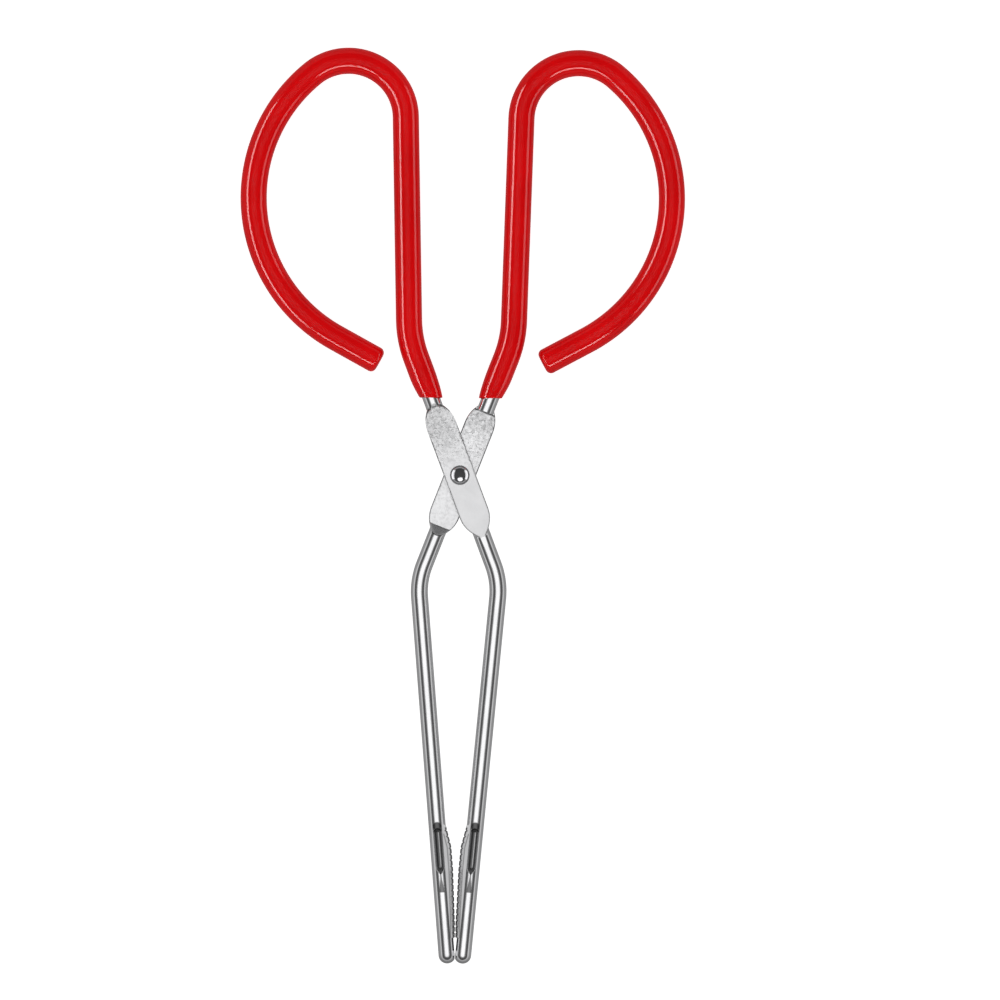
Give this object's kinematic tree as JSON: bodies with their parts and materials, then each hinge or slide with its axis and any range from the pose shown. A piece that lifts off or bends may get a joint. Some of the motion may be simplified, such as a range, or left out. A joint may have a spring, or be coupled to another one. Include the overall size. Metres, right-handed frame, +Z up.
{
  "type": "scissor tongs",
  "caption": "Scissor tongs of crossed plated steel rods riveted at flattened blades, with long toothed jaws and open finger loops sheathed in glossy red vinyl.",
  "frame": {"origin": "on the surface the tongs lie on, under the middle of their box, on the centre line between the handles", "axes": "+Y along the centre line from the jaws towards the handles, +X to the right seen from the front with the handles up, +Z up out of the surface, towards the domed rivet head"},
  "size_m": [0.1554, 0.3196, 0.0099],
  "materials": {
    "plated_steel": "bright nickel or chrome plate over drawn steel rod",
    "rivet_steel": "bright plated rivet",
    "red_vinyl": "glossy soft red vinyl sleeve"
  },
  "bodies": {
    "front": {"front_arm": "plated_steel", "left_grip": "red_vinyl", "rivet": "rivet_steel"},
    "rear": {"rear_arm": "plated_steel", "right_grip": "red_vinyl"}
  },
  "joints": [
    {"name": "pivot", "type": "hinge", "parent": "front", "child": "rear", "pos_m": [0, 0.01082, 0.00462], "axis": [0, 0, -1], "range_deg": [0, 110]}
  ]
}
